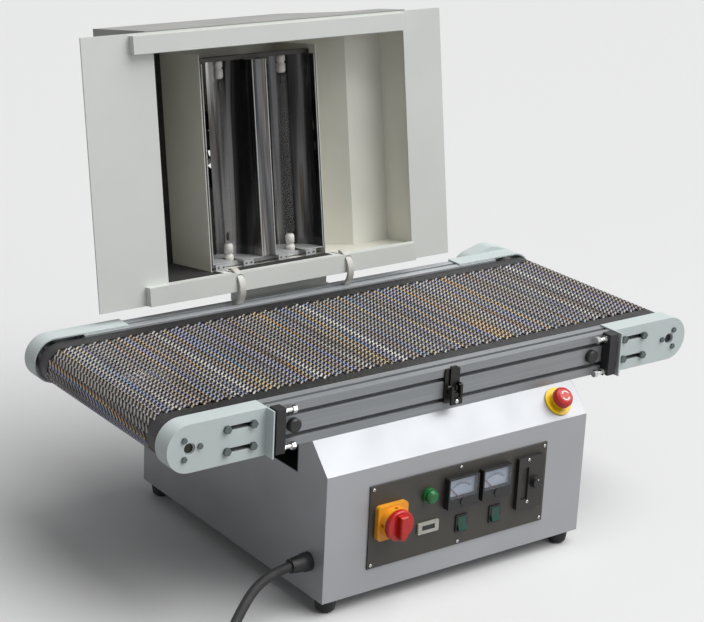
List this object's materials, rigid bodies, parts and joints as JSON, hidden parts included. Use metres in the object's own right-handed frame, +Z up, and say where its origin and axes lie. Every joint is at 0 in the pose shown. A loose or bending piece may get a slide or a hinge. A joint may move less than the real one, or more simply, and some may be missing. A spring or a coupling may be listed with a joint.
{
  "type": "conveyor curing oven",
  "caption": "Benchtop conveyor oven: a mesh belt on slotted rails over a cabinet with a control panel, under a hinged hood with tube lamps, drawn open.",
  "frame": {"origin": "on the floor, below the middle of the machine's box, its supply lead apart", "axes": "+X along the belt to the right seen from the control panel, +Y to the back, +Z up"},
  "size_m": [1.2033, 1.1171, 0.9327],
  "materials": {
    "cabinet_paint": "satin",
    "black_paint": "matte",
    "hood_paint": "satin",
    "hood_cream": "satin",
    "cap_paint": "satin",
    "panel_paint": "satin",
    "plain_steel": "brushed",
    "bright_steel": "polished",
    "aluminium": "anodised",
    "black_plastic": "matte",
    "grey_plastic": "matte",
    "yellow_plastic": "gloss",
    "red_plastic": "gloss",
    "green_plastic": "gloss",
    "rubber": "matte",
    "mesh": "coated mesh",
    "mirror": "polished",
    "quartz": "clear",
    "window": "clear",
    "iron": "matte"
  },
  "bodies": {
    "frame": {"cabinet_shell": "cabinet_paint", "belt_trough": "black_paint", "base_plate": "cabinet_paint", "back_panel": "cabinet_paint", "rubber_feet": "rubber", "ballast_transformers": "iron", "front_rail": "aluminium", "rear_rail": "aluminium", "end_caps": "cap_paint", "rear_right_cap": "cap_paint", "cap_bolts": "bright_steel", "flange_bearings": "plain_steel", "conveyor_belt": "mesh", "slider_bed": "black_paint", "tension_blocks": "black_paint", "tension_screws": "bright_steel", "bolt_covers": "black_plastic", "gear_motor": "black_paint", "drive_back_plate": "cap_paint", "drive_cover": "cap_paint", "latch_base": "black_paint", "control_panel": "panel_paint", "isolator_base": "yellow_plastic", "pilot_lamp": "green_plastic", "hour_counter": "grey_plastic", "meter_cases": "black_plastic", "meter_windows": "window", "rocker_bezels": "black_plastic", "speed_controller": "grey_plastic", "estop_collar": "yellow_plastic", "cable_gland": "black_plastic", "power_cord": "rubber", "cord_coil": "rubber", "mains_plug": "black_plastic", "hinge_arms": "hood_paint", "hinge_stop_plate": "plain_steel"},
    "hood": {"hood_plate": "hood_paint", "hood_strips": "hood_paint", "hood_cover": "hood_cream", "hinge_pins": "bright_steel", "lamp_baffles": "hood_cream", "lamp_mounts": "plain_steel", "lamp_reflectors": "mirror", "uv_lamps": "quartz", "fan_frame": "black_plastic", "fan_guard": "plain_steel"},
    "fan": {"fan_rotor": "black_plastic"},
    "drive_roller": {"drive_roller": "plain_steel", "roller_gear": "plain_steel"},
    "tail_roller": {"tail_roller": "plain_steel"},
    "motor_gear": {"motor_gear": "plain_steel"},
    "isolator_knob": {"isolator_knob": "red_plastic"},
    "estop_button": {"estop_button": "red_plastic"},
    "rocker_left": {"rocker_left": "green_plastic"},
    "rocker_right": {"rocker_right": "green_plastic"},
    "speed_knob": {"speed_knob": "black_plastic"},
    "needle_left": {"meter_needle_left": "red_plastic"},
    "needle_right": {"meter_needle_right": "red_plastic"},
    "latch_lever": {"latch_lever": "black_paint"},
    "latch_claw": {"latch_claw": "bright_steel"}
  },
  "joints": [
    {"name": "hood_hinge", "type": "hinge", "parent": "frame", "child": "hood", "pos_m": [0, 0.1664, 0.4306], "axis": [1, 0, 0], "range_deg": [0, 98.9]},
    {"name": "fan_spin", "type": "hinge", "parent": "hood", "child": "fan", "pos_m": [-0.0345, 0.37038, 0.65063], "axis": [0, 0.9879, -0.1551], "continuous": true},
    {"name": "drive_roller_spin", "type": "hinge", "parent": "frame", "child": "drive_roller", "pos_m": [0.55, 0, 0.361], "axis": [0, 1, 0], "continuous": true},
    {"name": "tail_roller_spin", "type": "hinge", "parent": "frame", "child": "tail_roller", "pos_m": [-0.55, 0, 0.361], "axis": [0, 1, 0], "continuous": true},
    {"name": "motor_gear_spin", "type": "hinge", "parent": "frame", "child": "motor_gear", "pos_m": [0.48, 0, 0.361], "axis": [0, 1, 0], "continuous": true},
    {"name": "isolator_turn", "type": "hinge", "parent": "frame", "child": "isolator_knob", "pos_m": [-0.162, -0.417, 0.161], "axis": [0, 1, 0], "range_deg": [0, 90]},
    {"name": "estop_press", "type": "slide", "parent": "frame", "child": "estop_button", "axis": [0, 0.7278, -0.6858], "range_m": [0, 0.004], "stiffness_N_per_m": 600, "springref_m": -0.0015},
    {"name": "rocker_left_tip", "type": "hinge", "parent": "frame", "child": "rocker_left", "pos_m": [0.0035, -0.385, 0.115], "axis": [1, 0, 0], "range_deg": [0, 22]},
    {"name": "rocker_right_tip", "type": "hinge", "parent": "frame", "child": "rocker_right", "pos_m": [0.0825, -0.385, 0.115], "axis": [1, 0, 0], "range_deg": [0, 22]},
    {"name": "speed_turn", "type": "hinge", "parent": "frame", "child": "speed_knob", "pos_m": [0.17, -0.402, 0.163], "axis": [0, 1, 0], "range_deg": [0, 270]},
    {"name": "needle_left_swing", "type": "hinge", "parent": "frame", "child": "needle_left", "pos_m": [-0.0053, -0.39, 0.1672], "axis": [0, 1, 0], "range_deg": [0, 90], "stiffness_Nm_per_rad": 0.0002, "springref_deg": -17.19},
    {"name": "needle_right_swing", "type": "hinge", "parent": "frame", "child": "needle_right", "pos_m": [0.0748, -0.39, 0.1672], "axis": [0, 1, 0], "range_deg": [0, 90], "stiffness_Nm_per_rad": 0.0002, "springref_deg": -17.19},
    {"name": "lever_swing", "type": "hinge", "parent": "frame", "child": "latch_lever", "pos_m": [0.002, -0.344, 0.368], "axis": [-1, 0, 0], "range_deg": [0, 110]},
    {"name": "claw_swing", "type": "hinge", "parent": "latch_lever", "child": "latch_claw", "pos_m": [0.002, -0.342, 0.356], "axis": [-1, 0, 0], "range_deg": [-110, 0]}
  ],
  "couplings": [
    {"joint": "motor_gear_spin", "follows": "drive_roller_spin", "ratio": -0.89189},
    {"joint": "tail_roller_spin", "follows": "drive_roller_spin", "ratio": 1},
    {"joint": "claw_swing", "follows": "lever_swing", "ratio": -1}
  ]
}
